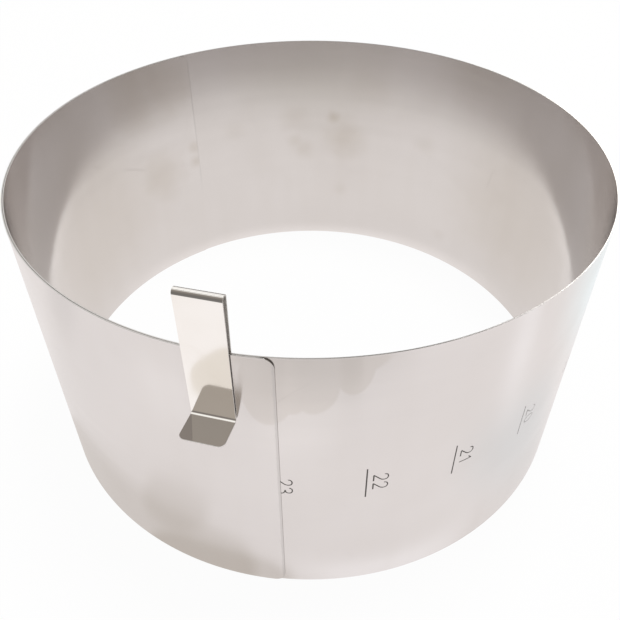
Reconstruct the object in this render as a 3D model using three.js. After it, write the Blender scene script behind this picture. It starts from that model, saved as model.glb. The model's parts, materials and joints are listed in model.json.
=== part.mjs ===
// An adjustable cake ring: one long strip of spring steel, coiled into a ring whose ends lap over
// each other, and the hairpin clip that is pushed down over the lap and holds the chosen diameter.
// Millimetres, +Z up. The origin is the ring's axis, on the surface that the ring stands on.
// Angles are counter-clockwise from +X, seen from above.
import * as THREE from 'three';

// The coiled strip
const ring_diameter = 230;
const ring_height = 120;
const strip_length = 1009;
const strip_thickness = 0.4;
const strip_corner_radius = 4;
const layer_gap = 0.1;
const outer_end_angle = THREE.MathUtils.degToRad(265.1);

// The spring clip
const clip_width = 14;
const clip_thickness = 0.4;
const clip_rise = 20.5;
const fold_radius = 1.2;
const front_leg_length = 45.5;
const back_leg_length = 39.5;
const knee_height = 1;
const knee_radius = 3;
const lip_length = 10.2;
const lip_bend_radius = 0.5;
const lip_bend_angle = THREE.MathUtils.degToRad(96);
const clip_corner_radius = 2;
const clip_clearance = 0.15;
const clip_setback = 19;

// How finely round stretches are divided
const ring_step = THREE.MathUtils.degToRad(2);
const bend_step = THREE.MathUtils.degToRad(12);
const corner_steps = 6;

const full_turn = 2 * Math.PI;
const quarter_turn = Math.PI / 2;

const strip_material = new THREE.MeshStandardMaterial({
  name: 'satin_stainless_steel',
  color: 0xc9c5c1,
  roughness: 0.38,
  metalness: 1,
});
const clip_material = new THREE.MeshStandardMaterial({
  name: 'polished_stainless_steel',
  color: 0xd8d5d1,
  roughness: 0.12,
  metalness: 1,
});

// Half the width of a round-cornered blank at a distance from one of its ends
function halfWidthAt(blank, distance) {
  const from_end = Math.min(distance, blank.length - distance);
  const inset = Math.max(blank.corner_radius - from_end, 0);
  const rise = Math.sqrt(blank.corner_radius ** 2 - inset ** 2);
  return blank.width / 2 - blank.corner_radius + rise;
}

// Distances along a blank at which it gets a section: close together round the corners at both
// ends, and at the given places between them
function sectionDistances(blank, places) {
  const corner = [];
  for (let i = 0; i <= corner_steps; i += 1) {
    const angle = (quarter_turn * i) / corner_steps;
    corner.push(blank.corner_radius * (1 - Math.cos(angle)));
  }
  const far_corner = corner.map((distance) => blank.length - distance).reverse();
  const clear = blank.length - blank.corner_radius;
  const between = places.filter((place) => place > blank.corner_radius && place < clear);
  return [...corner, ...between, ...far_corner];
}

// Bends a flat blank into a closed solid. The route gives, at each distance along the blank, a
// point of its middle surface and the normal there. The blank's width lies along across. The
// normal, across and the way that the blank runs are square to each other, as X, Y and Z are.
function bentStrip(blank, route, places, across) {
  const vertices = [];
  const distances = sectionDistances(blank, places);
  for (const distance of distances) {
    const { point, normal } = route(distance);
    const half_width = halfWidthAt(blank, distance);
    for (const [face, edge] of [[-1, -1], [1, -1], [1, 1], [-1, 1]]) {
      const corner = point.clone();
      corner.addScaledVector(normal, (face * blank.thickness) / 2);
      corner.addScaledVector(across, edge * half_width);
      vertices.push(corner.x, corner.y, corner.z);
    }
  }

  const triangles = [];
  const quad = (a, b, c, d) => triangles.push(a, b, c, a, c, d);
  const sides = 4;
  const last = (distances.length - 1) * sides;
  for (let start = 0; start < last; start += sides) {
    for (let i = 0; i < sides; i += 1) {
      const j = (i + 1) % sides;
      quad(start + i, start + j, start + sides + j, start + sides + i);
    }
  }
  quad(3, 2, 1, 0);
  quad(last, last + 1, last + 2, last + 3);

  const geometry = new THREE.BufferGeometry();
  geometry.setAttribute('position', new THREE.Float32BufferAttribute(vertices, 3));
  geometry.setIndex(triangles);
  return geometry;
}

// The coil is an even spiral: each turn lies one thickness and one gap outside the last. Its
// radius is the set radius half way along the strip, so the strip's length is kept.
const ring_radius = ring_diameter / 2;
const coil_sweep = strip_length / ring_radius;
const outer_end_turn = outer_end_angle + full_turn;
const inner_end_turn = outer_end_turn - coil_sweep;
const middle_turn = (inner_end_turn + outer_end_turn) / 2;
const coil_pitch = strip_thickness + layer_gap;

function coilRadius(turn) {
  return ring_radius + (coil_pitch * (turn - middle_turn)) / full_turn;
}

function makeBand() {
  const blank = {
    length: strip_length,
    width: ring_height,
    thickness: strip_thickness,
    corner_radius: strip_corner_radius,
  };
  const route = (distance) => {
    const turn = inner_end_turn + distance / ring_radius;
    const normal = new THREE.Vector3(Math.cos(turn), Math.sin(turn), 0);
    return { point: normal.clone().multiplyScalar(coilRadius(turn)), normal };
  };
  const places = [];
  for (let turn = ring_step; turn < coil_sweep; turn += ring_step) {
    places.push(turn * ring_radius);
  }
  const down = new THREE.Vector3(0, 0, -1);
  const geometry = bentStrip(blank, route, places, down);
  const band = new THREE.Mesh(geometry, strip_material);
  band.name = 'band';
  band.position.z = ring_height / 2;
  return band;
}

// Where the clip's two flat legs stand beside the two curved layers. The outer leg meets the outer
// layer along its middle, the inner leg meets the inner layer along its edges.
const clip_angle = outer_end_angle - clip_setback / ring_radius;
const outer_wall_radius = coilRadius(clip_angle + full_turn) + strip_thickness / 2;
const inner_wall_radius = coilRadius(clip_angle) - strip_thickness / 2;
const inner_wall_reach = Math.sqrt(inner_wall_radius ** 2 - (clip_width / 2) ** 2);
const front_leg_radius = outer_wall_radius + clip_clearance + clip_thickness / 2;
const back_leg_radius = inner_wall_reach - clip_clearance - clip_thickness / 2;
const leg_spacing = front_leg_radius - back_leg_radius;
const fold_height = ring_height + clip_rise - clip_thickness / 2 - fold_radius;

// The fold is wider than the two layers, so the inner leg slants from it towards the outer leg and
// bends upright again at its knee, just above the rim
const knee_drop = fold_height - ring_height - knee_height;
const knee_inset = fold_radius - leg_spacing - knee_radius;
const turn_radii = fold_radius + knee_radius;
const slant_length = Math.sqrt(knee_drop ** 2 + knee_inset ** 2 - turn_radii ** 2);
const slant_angle = Math.atan2(knee_inset, knee_drop) + Math.atan2(turn_radii, slant_length);

// A straight run of the clip's middle line, and a bend to the left (a positive turn) or right
function straightRun(length) {
  return { length, turn: 0 };
}

function bendRun(radius, turn) {
  return { length: radius * Math.abs(turn), turn };
}

// The clip's middle line, from the foot of the inner leg up over the fold and down to the lip
const clip_runs = [
  straightRun(back_leg_length - knee_drop),
  bendRun(knee_radius, slant_angle),
  straightRun(slant_length),
  bendRun(fold_radius, -Math.PI - slant_angle),
  straightRun(front_leg_length),
  bendRun(lip_bend_radius + clip_thickness / 2, lip_bend_angle),
  straightRun(lip_length),
];

// The point and direction at a distance along a line of runs that starts upwards. x is outwards
// from the ring's axis and y is up, from the middle of the fold.
function alongRuns(runs, distance) {
  const point = new THREE.Vector2(fold_radius - leg_spacing, -back_leg_length);
  let heading = quarter_turn;
  let left = distance;
  for (const run of runs) {
    const step = Math.min(left, run.length);
    const turn = (run.turn * step) / run.length;
    const chord = turn === 0 ? step : (2 * step * Math.sin(turn / 2)) / turn;
    point.x += chord * Math.cos(heading + turn / 2);
    point.y += chord * Math.sin(heading + turn / 2);
    heading += turn;
    left -= step;
  }
  return { point, heading };
}

function makeSpringClip() {
  const blank = {
    length: clip_runs.reduce((sum, run) => sum + run.length, 0),
    width: clip_width,
    thickness: clip_thickness,
    corner_radius: clip_corner_radius,
  };
  const route = (distance) => {
    const { point, heading } = alongRuns(clip_runs, distance);
    return {
      point: new THREE.Vector3(point.x, 0, point.y),
      normal: new THREE.Vector3(Math.sin(heading), 0, -Math.cos(heading)),
    };
  };
  const places = [];
  let start = 0;
  for (const run of clip_runs) {
    const steps = Math.max(1, Math.ceil(Math.abs(run.turn) / bend_step));
    for (let i = 1; i <= steps; i += 1) {
      places.push(start + (run.length * i) / steps);
    }
    start += run.length;
  }
  const geometry = bentStrip(blank, route, places, new THREE.Vector3(0, 1, 0));
  const clip = new THREE.Mesh(geometry, clip_material);
  clip.name = 'spring_clip';
  clip.position.set(front_leg_radius - fold_radius, 0, fold_height);
  return clip;
}

const cake_ring = new THREE.Group();
cake_ring.name = 'adjustable_cake_ring';
cake_ring.add(makeBand());

const clip_station = new THREE.Group();
clip_station.rotation.z = clip_angle;
clip_station.add(makeSpringClip());
cake_ring.add(clip_station);

export default cake_ring;
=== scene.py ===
"""Looks of an adjustable cake ring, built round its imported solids.

The ring is one long strip of satin spring steel, coiled so that its two ends lap, with a centimetre
scale etched on its outside. A polished hairpin clip is pushed down over the lap and holds it.
Metres, +Z up. The origin is the ring's axis, on the surface that the ring stands on.
"""

import json
import logging
import math
from abc import ABC, abstractmethod
from dataclasses import dataclass, field
from enum import Enum
from typing import Callable, Iterator, Sequence

import bmesh
import bpy
from mathutils import Matrix, Vector

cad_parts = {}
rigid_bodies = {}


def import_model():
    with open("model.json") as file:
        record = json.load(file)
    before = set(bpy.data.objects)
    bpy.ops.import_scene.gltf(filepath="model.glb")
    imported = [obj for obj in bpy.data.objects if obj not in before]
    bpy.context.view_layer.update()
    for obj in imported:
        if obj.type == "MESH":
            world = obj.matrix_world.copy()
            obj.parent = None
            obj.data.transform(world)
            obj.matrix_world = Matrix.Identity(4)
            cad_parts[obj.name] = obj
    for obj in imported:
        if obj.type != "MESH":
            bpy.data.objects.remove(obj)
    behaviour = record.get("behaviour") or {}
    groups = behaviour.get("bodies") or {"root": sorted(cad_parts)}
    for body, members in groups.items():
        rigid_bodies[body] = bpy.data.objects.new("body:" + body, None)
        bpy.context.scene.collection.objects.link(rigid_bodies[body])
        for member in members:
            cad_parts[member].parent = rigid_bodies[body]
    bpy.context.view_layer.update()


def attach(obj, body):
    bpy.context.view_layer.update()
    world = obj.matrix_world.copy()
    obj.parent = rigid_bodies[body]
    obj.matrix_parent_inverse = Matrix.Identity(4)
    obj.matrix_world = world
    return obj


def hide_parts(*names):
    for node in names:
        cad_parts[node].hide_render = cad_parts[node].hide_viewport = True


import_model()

log = logging.getLogger("cake_ring")

Colour = tuple[float, float, float]
Point = tuple[float, float]
Place = tuple[float, float, float]


class Body(str, Enum):
    """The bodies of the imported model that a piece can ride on."""

    RING = "ring"
    CLIP = "clip"


class Slot(str, Enum):
    """The record's material slots."""

    BAND_STEEL = "band_steel"
    CLIP_STEEL = "clip_steel"


class Node(str, Enum):
    """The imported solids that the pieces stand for."""

    BAND = "band"
    CLIP = "spring_clip"


# Hand tools


def take_up(piece: bpy.types.Object) -> None:
    """Selects one object alone and makes it active.

    Args:
        piece: The object that the next operators work on.
    """
    for other in bpy.context.view_layer.objects:
        other.select_set(False)
    piece.select_set(True)
    bpy.context.view_layer.objects.active = piece


def pick_vertices(piece: bpy.types.Object, wanted: Callable[[Vector], bool]) -> None:
    """Selects, in edit mode, the vertices whose place passes a test.

    Args:
        piece: The object being edited.
        wanted: Tells from a vertex's place whether it is selected.
    """
    mesh = bmesh.from_edit_mesh(piece.data)
    for vertex in mesh.verts:
        vertex.select = wanted(vertex.co)
    mesh.select_flush_mode()
    bmesh.update_edit_mesh(piece.data)


def finish_with(piece: bpy.types.Object, kind: str, **settings: object) -> None:
    """Adds one modifier to an object and applies it.

    Args:
        piece: The object that gets the modifier.
        kind: The modifier's type, such as BEVEL.
        settings: The modifier's own settings.
    """
    take_up(piece)
    modifier = piece.modifiers.new(kind.lower(), kind)
    for name, value in settings.items():
        setattr(modifier, name, value)
    bpy.ops.object.modifier_apply(modifier=modifier.name)


def fix_place(piece: bpy.types.Object) -> None:
    """Moves an object's place, turn and scale into its mesh."""
    take_up(piece)
    bpy.ops.object.transform_apply(location=True, rotation=True, scale=True)


def smooth_over(piece: bpy.types.Object, angle: float) -> None:
    """Smooths the faces that meet at less than an angle, in degrees."""
    take_up(piece)
    bpy.ops.object.shade_smooth_by_angle(angle=math.radians(angle))


def draw_curve(name: str, lines: Sequence[Sequence[Place]]) -> bpy.types.Object:
    """Draws some lines as one curve object.

    Args:
        name: The object's name.
        lines: The points of each line.

    Returns:
        The curve object.
    """
    data = bpy.data.curves.new(name, "CURVE")
    data.dimensions = "3D"
    for line in lines:
        spline = data.splines.new("POLY")
        spline.points.add(len(line) - 1)
        for point, place in zip(spline.points, line):
            point.co = (*place, 1)
    curve = bpy.data.objects.new(name, data)
    bpy.context.scene.collection.objects.link(curve)
    return curve


def bend_along(piece: bpy.types.Object, name: str, points: Sequence[Point]) -> None:
    """Bends a flat piece that lies along +X, so that it follows a line in the XY plane.

    Args:
        piece: The flat piece. Its -Y side comes out to the right of the line.
        name: The name of the line.
        points: The line's points, whose spacing adds up to the piece's length.
    """
    line = draw_curve(name, [[(x, y, 0) for x, y in points]])
    line.data.twist_mode = "Z_UP"
    bpy.context.view_layer.update()
    finish_with(piece, "CURVE", object=line, deform_axis="POS_X")
    bpy.data.objects.remove(line)


def report(piece: bpy.types.Object) -> None:
    """Logs a finished piece's size and number of faces."""
    size = " x ".join(f"{side * 1000:.1f}" for side in piece.dimensions)
    log.info("%s: %s mm, %d faces", piece.name, size, len(piece.data.polygons))


# Shader wiring


class Wiring:
    """Places and joins the nodes of one node tree."""

    def __init__(self, tree: bpy.types.NodeTree) -> None:
        """Takes up the tree that the nodes go into."""
        self.tree = tree

    def feed(self, socket: bpy.types.NodeSocket, value: object) -> None:
        """Joins a socket to another one, or sets its value.

        Args:
            socket: The socket that is fed.
            value: The socket that feeds it, a node whose first output does, or a plain value.
        """
        if isinstance(value, bpy.types.Node):
            value = value.outputs[0]
        if isinstance(value, bpy.types.NodeSocket):
            self.tree.links.new(value, socket)
        elif socket.type == "RGBA":
            socket.default_value = (*value, 1.0)
        else:
            socket.default_value = value

    def feed_all(self, node: bpy.types.Node, feeds: dict[str | int, object]) -> None:
        """Feeds several inputs of a node, by name or number."""
        for name, value in feeds.items():
            self.feed(node.inputs[name], value)

    def add(self, kind: str, feeds: dict[str | int, object] | None = None,
            **settings: object) -> bpy.types.Node:
        """Places a node.

        Args:
            kind: The node's type without its ShaderNode prefix.
            feeds: What goes into its inputs, by name or number.
            settings: The node's own settings.

        Returns:
            The node.
        """
        node = self.tree.nodes.new("ShaderNode" + kind)
        for name, value in settings.items():
            setattr(node, name, value)
        self.feed_all(node, feeds or {})
        return node

    def maths(self, operation: str, *values: object, clamp: bool = False) -> bpy.types.NodeSocket:
        """Places a Math node and gives its result.

        Args:
            operation: The sum that it does, such as MULTIPLY.
            values: What goes into it.
            clamp: Whether the result stays between 0 and 1.

        Returns:
            The result's socket.
        """
        node = self.add("Math", dict(enumerate(values)), operation=operation, use_clamp=clamp)
        return node.outputs[0]

    def vector(self, operation: str, *values: object) -> bpy.types.NodeSocket:
        """Places a Vector Math node and gives its result.

        Args:
            operation: The sum that it does, such as SUBTRACT.
            values: What goes into it.

        Returns:
            The result's socket, a plain value for a length, a distance or a dot product.
        """
        node = self.add("VectorMath", dict(enumerate(values)), operation=operation)
        plain = operation in ("LENGTH", "DISTANCE", "DOT_PRODUCT")
        return node.outputs["Value" if plain else "Vector"]

    def parts(self, vector: object) -> bpy.types.bpy_prop_collection:
        """Gives the sockets of the X, Y and Z of coordinates."""
        return self.add("SeparateXYZ", {0: vector}).outputs

    def ramp(self, value: object, low: object, high: object, to_low: float = 0.0,
             to_high: float = 1.0) -> bpy.types.NodeSocket:
        """Maps a value smoothly from one range to another, and keeps it there.

        Args:
            value: What is mapped.
            low: Where the rise starts.
            high: Where it ends.
            to_low: The result below low.
            to_high: The result above high.

        Returns:
            The result's socket.
        """
        node = self.add("MapRange", {"Value": value, "From Min": low, "From Max": high,
                                     "To Min": to_low, "To Max": to_high},
                        interpolation_type="SMOOTHSTEP")
        return node.outputs["Result"]

    def blend(self, amount: object, one: object, other: object) -> bpy.types.NodeSocket:
        """Blends two colours.

        Args:
            amount: How much of the other colour there is, from 0 to 1.
            one: The first colour.
            other: The other colour.

        Returns:
            The blend's socket.
        """
        node = self.add("Mix", {0: amount, 6: one, 7: other}, data_type="RGBA", clamp_factor=True)
        return node.outputs[2]

    def noise(self, vector: object, scale: object, detail: float = 2.0, roughness: float = 0.5,
              distortion: float = 0.0) -> bpy.types.NodeSocket:
        """Places a noise texture and gives its value.

        Args:
            vector: The coordinates that it reads.
            scale: How many lumps there are in one unit.
            detail: How many finer layers it has.
            roughness: How strong the finer layers are.
            distortion: How much it swirls.

        Returns:
            The value's socket, about 0.2 to 0.8.
        """
        node = self.add("TexNoise", {"Vector": vector, "Scale": scale, "Detail": detail,
                                     "Roughness": roughness, "Distortion": distortion})
        return node.outputs[0]

    def bump(self, height: object, strength: float, distance: float,
             **under: bpy.types.NodeSocket) -> bpy.types.NodeSocket:
        """Places a Bump node and gives its normal.

        Args:
            height: The height of the relief, from 0 to 1.
            strength: How strong the relief is.
            distance: The relief's real depth.
            under: Normal, the normal of a broader relief under this one, where there is one.

        Returns:
            The normal's socket.
        """
        feeds = {"Height": height, "Strength": strength, "Distance": distance, **under}
        return self.add("Bump", feeds).outputs[0]

    def effect(self, group: bpy.types.NodeTree,
               feeds: dict[str, object]) -> bpy.types.bpy_prop_collection:
        """Places a shared effect, feeds its inputs and gives its outputs."""
        return self.add("Group", feeds, node_tree=group).outputs


def open_group(name: str, inputs: dict[str, float | None], outputs: Sequence[str]
               ) -> tuple[Wiring, bpy.types.bpy_prop_collection, bpy.types.bpy_prop_collection]:
    """Starts a node group for an effect that several finishes share.

    Args:
        name: The group's name.
        inputs: The usual value of each input, or None for coordinates.
        outputs: The names of the outputs, all of them plain values.

    Returns:
        The wiring of the group, the sockets that it is given and the sockets that it gives.
    """
    group = bpy.data.node_groups.new(name, "ShaderNodeTree")
    for label, usual in inputs.items():
        kind = "NodeSocketVector" if usual is None else "NodeSocketFloat"
        socket = group.interface.new_socket(label, in_out="INPUT", socket_type=kind)
        if usual is not None:
            socket.default_value = usual
    for label in outputs:
        group.interface.new_socket(label, in_out="OUTPUT", socket_type="NodeSocketFloat")
    given, gives = (group.nodes.new(f"NodeGroup{side}") for side in ("Input", "Output"))
    return Wiring(group), given.outputs, gives.inputs


class SteelEffects:
    """The node groups that the steel finishes share."""

    def __init__(self) -> None:
        """Builds each group once."""
        self.grain = self._rolled_grain()
        self.smudges = self._handling_smudges()
        self.scratches = self._hair_scratches()
        self.rub = self._edge_rub()

    def _rolled_grain(self) -> bpy.types.NodeTree:
        """Fine lines along the sheet, left by rolling and brushing.

        Returns:
            The node group, which gives a height and a streak.
        """
        w, given, gives = open_group(
            "rolled_grain", {"Vector": None, "Lines per metre": 3000.0, "Length": 60.0},
            ["Height", "Streak"])
        along = w.maths("DIVIDE", given["Lines per metre"], given["Length"])
        scale = w.add("CombineXYZ", {"X": along, "Y": given["Lines per metre"], "Z": along})
        fine = w.vector("MULTIPLY", given["Vector"], scale)
        lines = w.noise(fine, 1.0, detail=3.0, roughness=0.65)
        bands = w.noise(w.vector("MULTIPLY", fine, (0.15, 0.08, 0.15)), 1.0)
        w.feed(gives["Height"], w.maths("MULTIPLY_ADD", bands, 0.6, lines))
        w.feed(gives["Streak"], w.ramp(bands, 0.35, 0.65))
        return w.tree

    def _handling_smudges(self) -> bpy.types.NodeTree:
        """Soft patches where the steel was touched or wiped.

        Returns:
            The node group, which gives a mask.
        """
        w, given, gives = open_group(
            "handling_smudges", {"Vector": None, "Patches per metre": 30.0, "Cover": 0.5},
            ["Mask"])
        patches = w.noise(given["Vector"], given["Patches per metre"], detail=4.0,
                          roughness=0.55, distortion=0.8)
        finer_scale = w.maths("MULTIPLY", given["Patches per metre"], 5.0)
        finer = w.noise(given["Vector"], finer_scale, detail=3.0)
        start = w.ramp(given["Cover"], 0.0, 1.0, 0.65, 0.35)
        soft = w.ramp(patches, start, w.maths("ADD", start, 0.22))
        broken = w.ramp(finer, 0.3, 0.7, 0.55, 1.0)
        w.feed(gives["Mask"], w.maths("MULTIPLY", soft, broken))
        return w.tree

    def _hair_scratches(self) -> bpy.types.NodeTree:
        """Sparse thin scratches in two slightly crossed directions.

        Returns:
            The node group, which gives a mask.
        """
        w, given, gives = open_group(
            "hair_scratches", {"Vector": None, "Cells per metre": 60.0, "Width": 0.004},
            ["Mask"])
        layers = []
        for turn, stretch in ((0.22, 0.16), (-0.5, 0.22)):
            turned = w.add("VectorRotate", {"Vector": given["Vector"], "Angle": turn},
                           rotation_type="Z_AXIS")
            wobble = w.maths("MULTIPLY", w.noise(turned, 40.0, detail=1.0), 0.004)
            shifted = w.vector("ADD", turned, w.add("CombineXYZ", {"Y": wobble}))
            laid = w.vector("MULTIPLY", shifted, (stretch, 1.0, 1.0))
            cells = w.add("TexVoronoi", {"Vector": laid, "Scale": given["Cells per metre"]},
                          feature="DISTANCE_TO_EDGE")
            line = w.maths("LESS_THAN", cells.outputs["Distance"], given["Width"])
            gate = w.ramp(w.noise(given["Vector"], 25.0 + 30.0 * abs(turn)), 0.5, 0.62)
            layers.append(w.maths("MULTIPLY", line, gate))
        w.feed(gives["Mask"], w.maths("MAXIMUM", *layers))
        return w.tree

    def _edge_rub(self) -> bpy.types.NodeTree:
        """Where a sheet is rubbed brighter near its cut edges, from its flat coordinates.

        Returns:
            The node group, which gives a mask.
        """
        w, given, gives = open_group(
            "edge_rub", {"Vector": None, "Width": 0.12, "Margin": 0.0012}, ["Mask"])
        across = w.parts(given["Vector"])["Y"]
        nearest = w.maths("MINIMUM", across, w.maths("SUBTRACT", given["Width"], across))
        edge = w.maths("MULTIPLY_ADD", w.noise(given["Vector"], 350.0, detail=3.0), 0.0012,
                       nearest)
        near = w.maths("DIVIDE", edge, given["Margin"])
        w.feed(gives["Mask"], w.ramp(near, 0.4, 1.4, 1.0, 0.0))
        return w.tree


# Finishes


def open_material(name: str) -> tuple[Wiring, bpy.types.Node]:
    """Starts a node material.

    Args:
        name: The material's name.

    Returns:
        Its wiring, and its Principled shader.
    """
    material = bpy.data.materials.new(name)
    material.use_nodes = True
    return Wiring(material.node_tree), material.node_tree.nodes["Principled BSDF"]


@dataclass(frozen=True)
class Finish(ABC):
    """The look of one kind of steel surface."""

    name: str

    def material(self, effects: SteelEffects) -> bpy.types.Material:
        """Makes the material.

        Args:
            effects: The shared node groups.

        Returns:
            The material.
        """
        w, shader = open_material(self.name)
        w.feed_all(shader, self.inputs(w, effects))
        return bpy.data.materials[self.name]

    @abstractmethod
    def inputs(self, w: Wiring, effects: SteelEffects) -> dict[str, object]:
        """Wires the look.

        Args:
            w: The material's wiring.
            effects: The shared node groups.

        Returns:
            What goes into each input of the Principled shader.
        """


@dataclass(frozen=True)
class Stain:
    """A soft round stain on the sheet, placed by its flat coordinates."""

    along: float
    across: float
    spread: float
    strength: float


@dataclass(frozen=True)
class WaterMark:
    """An oval of painted shade on the sheet, with a clear edge, placed by its flat coordinates: a
    mirrored shade painted into the steel's colour.
    """

    along: float
    across: float
    reach: float
    rise: float


@dataclass(frozen=True)
class SatinSheet(Finish):
    """The strip's satin steel: fine lines along it, a slight wave, smudges, stains, grime and
    painted shade.

    Grime and painted shade darken the last millimetre of both ends, where the lap's step shades the
    sheet;
    on the inner end they lie in patches, towards its top. Clear-edged ovals of painted shade stand
    for shade that the sheet mirrors.
    """

    colour: Colour
    # Colour of the stains and random tints, and of the ovals of painted shade.
    stained: Colour
    roughness: float
    anisotropy: float
    wave_depth: float
    width: float
    length: float
    rubbed: Colour = (0.8, 0.79, 0.78)
    # Grime and painted shade on the last millimetre of both ends, where the lap's step shades the
    # sheet.
    dirt: Colour = (0.58, 0.565, 0.555)
    end_dirt: float = 0.7
    dirty_part: tuple[float, float] = (0.53, 0.58)
    stains: tuple[Stain, ...] = ()
    # Clear-edged ovals of painted shade: mirrored shade painted into the colour.
    water_marks: tuple[WaterMark, ...] = ()
    water_strength: float = 0.38

    def inputs(self, w: Wiring, effects: SteelEffects) -> dict[str, object]:
        """Wires the fine lines, tints, grime, painted shade and waves, by the sheet's flat
        coordinates.

        Args:
            w: The material's wiring.
            effects: The shared node groups.

        Returns:
            What goes into each input of the Principled shader.
        """
        flat = w.add("UVMap", uv_map=FlatBlank.uv_name).outputs[0]
        grain = w.effect(effects.grain, {"Vector": flat, "Lines per metre": 2600.0,
                                         "Length": 90.0})
        smudge = w.effect(effects.smudges, {"Vector": flat, "Patches per metre": 14.0,
                                            "Cover": 0.45})["Mask"]
        scratch = w.effect(effects.scratches, {"Vector": flat, "Cells per metre": 45.0,
                                               "Width": 0.002})["Mask"]
        cloud = w.ramp(w.noise(flat, 9.0, detail=3.0, distortion=0.5), 0.3, 0.7)

        streak = w.noise(w.vector("MULTIPLY", flat, (1.0, 0.12, 1.0)), 110.0)
        stain_and_shade_tint = w.maths("ADD", w.maths("MULTIPLY", cloud, 0.16),
                       w.ramp(streak, 0.35, 0.7, 0.0, 0.05))
        stain_and_shade_tint = w.maths("MULTIPLY_ADD", smudge, 0.1, stain_and_shade_tint)
        stain_and_shade_tint = w.maths("ADD", stain_and_shade_tint, self._stain_mask(w, flat))
        # painted shade: clear-edged ovals darken the colour where the steel mirrors shade from in
        # front of it
        stain_and_shade_tint = w.maths("ADD", stain_and_shade_tint, self._water_mask(w, flat), clamp=True)
        # stains, random tints and the ovals of painted shade all blend towards one colour
        colour = w.blend(stain_and_shade_tint, self.colour, self.stained)
        # grime and painted shade darken both ends, where the lap's step shades the sheet
        colour = w.blend(self._dirt_mask(w, flat), colour, self.dirt)
        brighter = w.maths("MULTIPLY", self._rub_mask(w, flat, effects), 0.35)

        rough = w.maths("MULTIPLY_ADD", cloud, 0.03, self.roughness - 0.015)
        for mask, share in ((smudge, 0.015), (grain["Streak"], 0.015), (scratch, 0.05)):
            rough = w.maths("MULTIPLY_ADD", mask, share, rough)

        wave = w.noise(w.vector("MULTIPLY", flat, (1.0, 0.45, 1.0)), 17.0, detail=1.0)
        ripple = w.noise(w.vector("MULTIPLY", flat, (1.0, 0.2, 1.0)), 60.0, detail=1.0)
        swell = w.bump(w.maths("MULTIPLY_ADD", ripple, 0.2, wave), 1.0, self.wave_depth)
        return {
            "Base Color": w.blend(brighter, colour, self.rubbed),
            "Metallic": 1.0,
            "Roughness": rough,
            "Anisotropic": self.anisotropy,
            "Anisotropic Rotation": 0.25,
            "Normal": w.bump(grain["Height"], 0.5, 0.0000015, Normal=swell),
        }

    def _rub_mask(self, w: Wiring, flat: bpy.types.NodeSocket,
                  effects: SteelEffects) -> bpy.types.NodeSocket:
        """Tells where the sheet is rubbed along its upper and lower edges, on both sides.

        Args:
            w: The material's wiring.
            flat: The sheet's flat coordinates.
            effects: The shared node groups.

        Returns:
            The mask's socket.
        """
        inside = w.maths("GREATER_THAN", w.parts(flat)["Y"], FlatBlank.inner_shift / 2)
        lift = w.add("CombineXYZ", {"Y": w.maths("MULTIPLY", inside, FlatBlank.inner_shift)})
        return w.effect(effects.rub, {"Vector": w.vector("SUBTRACT", flat, lift),
                                      "Width": self.width, "Margin": 0.0012})["Mask"]

    def _dirt_mask(self, w: Wiring, flat: bpy.types.NodeSocket) -> bpy.types.NodeSocket:
        """Tells where grime and painted shade darken the strip's two ends.

        Args:
            w: The material's wiring.
            flat: The sheet's flat coordinates.

        Returns:
            The mask's socket.
        """
        places = w.parts(flat)
        uneven = w.noise(flat, 400.0)
        first = w.maths("MULTIPLY_ADD", uneven, -0.0004, places["X"])
        last = w.maths("MULTIPLY_ADD", uneven, 0.0004, places["X"])
        patchy = w.ramp(w.noise(flat, 45.0), 0.4, 0.65, 0.35, 1.0)
        inner = w.ramp(first, 0.0001, 0.001, self.end_dirt, 0.0)
        inner = w.maths("MULTIPLY", inner, w.ramp(places["Y"], *self.dirty_part))
        outer = w.ramp(last, self.length - 0.001, self.length - 0.0001, 0.0, self.end_dirt)
        return w.maths("MULTIPLY_ADD", inner, patchy, outer)

    def _stain_mask(self, w: Wiring, flat: bpy.types.NodeSocket) -> object:
        """Joins the soft stains into one mask.

        Args:
            w: The material's wiring.
            flat: The sheet's flat coordinates.

        Returns:
            The mask's socket, or 0 where there are no stains.
        """
        edge = w.noise(flat, 120.0, detail=3.0)
        total: object = 0.0
        for stain in self.stains:
            gap = w.vector("DISTANCE", flat, (stain.along, stain.across, 0.0))
            ragged = w.maths("MULTIPLY_ADD", edge, min(stain.spread, 0.01), gap)
            spot = w.ramp(ragged, stain.spread * 0.4, stain.spread * 1.7, stain.strength, 0.0)
            total = w.maths("MAXIMUM", total, spot)
        return total

    def _water_mask(self, w: Wiring, flat: bpy.types.NodeSocket) -> object:
        """Joins the ovals of painted mirrored shade into one mask.

        Args:
            w: The material's wiring.
            flat: The sheet's flat coordinates.

        Returns:
            The mask's socket, or 0 where there are no such ovals.
        """
        edge = w.noise(flat, 150.0)
        total: object = 0.0
        for mark in self.water_marks:
            gap = w.vector("SUBTRACT", flat, (mark.along, mark.across, 0.0))
            oval = w.vector("MULTIPLY", gap, (1.0 / mark.reach, 1.0 / mark.rise, 1.0))
            ragged = w.maths("MULTIPLY_ADD", edge, 0.1, w.vector("LENGTH", oval))
            spot = w.ramp(ragged, 0.98, 1.12, self.water_strength, 0.0)
            total = w.maths("MAXIMUM", total, spot)
        return total


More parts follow.
